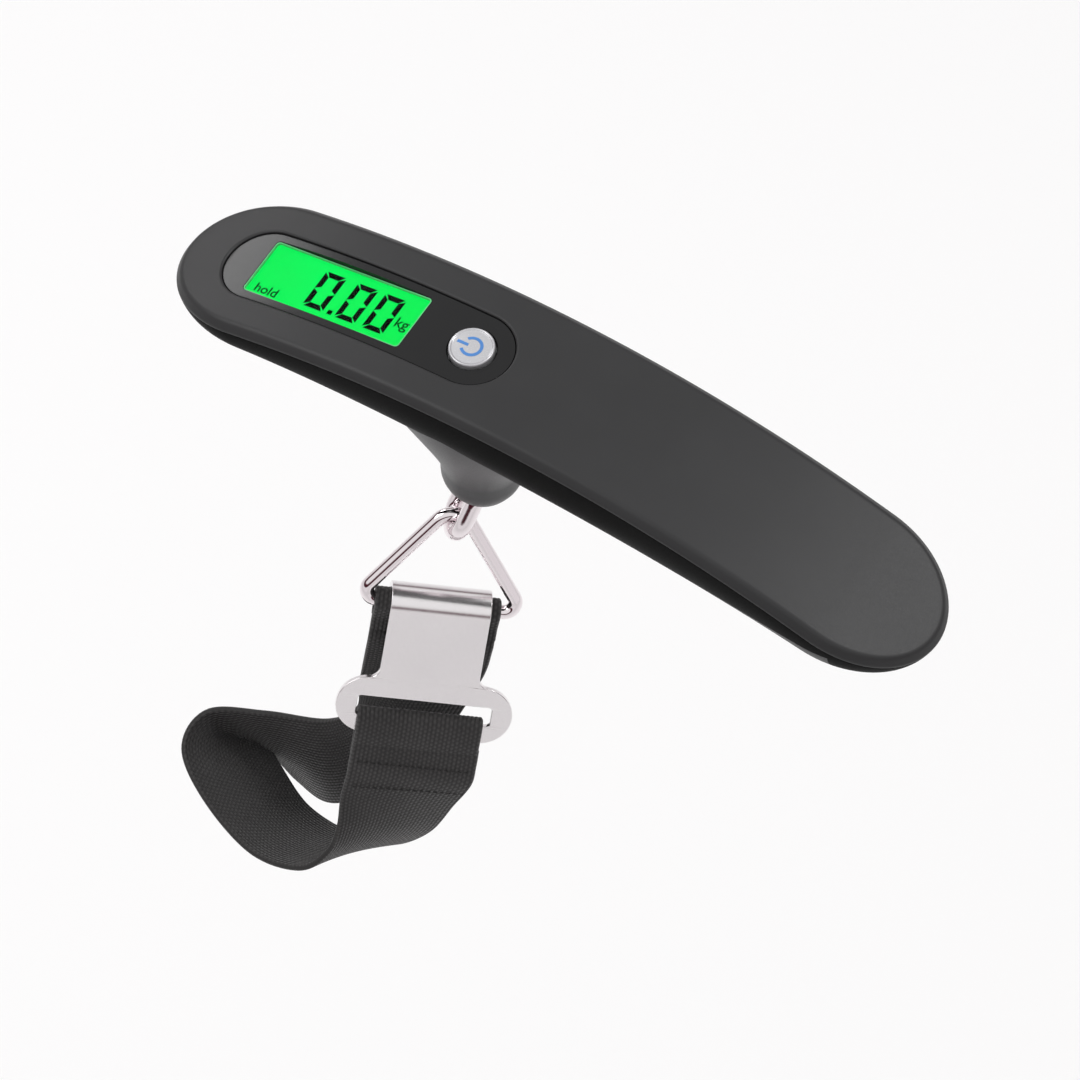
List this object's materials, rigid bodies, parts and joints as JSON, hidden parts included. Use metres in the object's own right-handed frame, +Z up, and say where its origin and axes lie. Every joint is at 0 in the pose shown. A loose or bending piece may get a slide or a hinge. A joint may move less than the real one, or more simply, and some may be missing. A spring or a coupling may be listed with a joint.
{
  "type": "digital luggage scale",
  "caption": "Handheld hanging luggage scale: arched grip with a lit display and power button, load cell inside, and a link, ring and hook plate on a webbing loop.",
  "frame": {"origin": "centre of the hand grip: middle of the handle's length and width, half way through its thickness", "axes": "+X from the display end of the handle to its other end, +Y across the handle away from the side that the chain is swung to, +Z up out of the arched top face"},
  "size_m": [0.1668, 0.0732, 0.1412],
  "materials": {
    "grey_plastic": "satin moulded plastic, dark grey",
    "black_plastic": "satin moulded plastic, black",
    "panel_plastic": "smooth gloss plastic, dark grey",
    "boss_plastic": "satin moulded plastic, mid grey",
    "white_plastic": "satin",
    "red_plastic": "satin",
    "silver_button": "metallised gloss plastic",
    "clear_window": "clear polished",
    "lcd_green": "lit liquid crystal display, green",
    "copper_film": "satin film",
    "green_board": "lacquered circuit board",
    "solder_parts": "tinned parts",
    "steel_screws": "zinc plated",
    "bright_steel": "bright nickel plated",
    "spring_brass": "satin",
    "red_wire": "insulated wire",
    "blue_wire": "insulated wire",
    "machined_aluminium": "machined",
    "grey_metal": "satin",
    "chrome_wire": "polished chrome plate",
    "satin_steel": "brushed nickel plate",
    "webbing": "woven polypropylene webbing, near black"
  },
  "bodies": {
    "housing": {"top_shell": "grey_plastic", "bottom_shell": "black_plastic", "case_screws": "steel_screws", "display_panel": "panel_plastic", "lcd_window": "clear_window", "lcd_glass": "lcd_green", "lcd_backlight": "white_plastic", "lcd_frame": "black_plastic", "lcd_ribbon": "copper_film", "main_board": "green_board", "controller_chip": "black_plastic", "board_parts": "solder_parts", "board_screws": "steel_screws", "tact_switch": "steel_screws", "backlight_led": "lcd_green", "battery_tray": "black_plastic", "coin_cell": "bright_steel", "contact_positive": "spring_brass", "contact_negative": "spring_brass", "battery_wires": "red_wire", "hanging_boss": "boss_plastic", "load_cell": "machined_aluminium", "load_cell_block": "grey_metal", "load_cell_screws": "steel_screws", "strain_gauges": "white_plastic", "gauge_wires": "blue_wire", "hanger_eye": "chrome_wire", "hanger_nut": "steel_screws"},
    "button": {"power_button": "silver_button", "button_plunger": "red_plastic"},
    "door": {"battery_door": "grey_plastic"},
    "link": {"hanger_link": "chrome_wire"},
    "ring": {"triangle_ring": "chrome_wire", "ring_strap_end": "webbing", "strap_loop": "webbing"},
    "hook": {"hook_plate": "satin_steel", "hook_strap_end": "webbing"}
  },
  "joints": [
    {"name": "button_press", "type": "slide", "parent": "housing", "child": "button", "axis": [0.087, 0, -0.9962], "range_m": [0, 0.0005], "stiffness_N_per_m": 300},
    {"name": "door_pull", "type": "slide", "parent": "housing", "child": "door", "axis": [0, 0, -1], "range_m": [0, 0.015]},
    {"name": "link_swing", "type": "hinge", "parent": "housing", "child": "link", "pos_m": [-0.017, 0, -0.0327], "axis": [0.829, -0.5592, 0], "range_deg": [-4, 62]},
    {"name": "ring_swing", "type": "hinge", "parent": "link", "child": "ring", "pos_m": [-0.01947, -0.00608, -0.0411], "axis": [0.8478, 0.5054, -0.1607], "range_deg": [-30, 45]},
    {"name": "hook_swing", "type": "hinge", "parent": "ring", "child": "hook", "pos_m": [-0.01713, -0.01576, -0.05913], "axis": [-0.8478, -0.5054, 0.1607], "range_deg": [0, 50], "deforming": ["strap_loop"]}
  ]
}
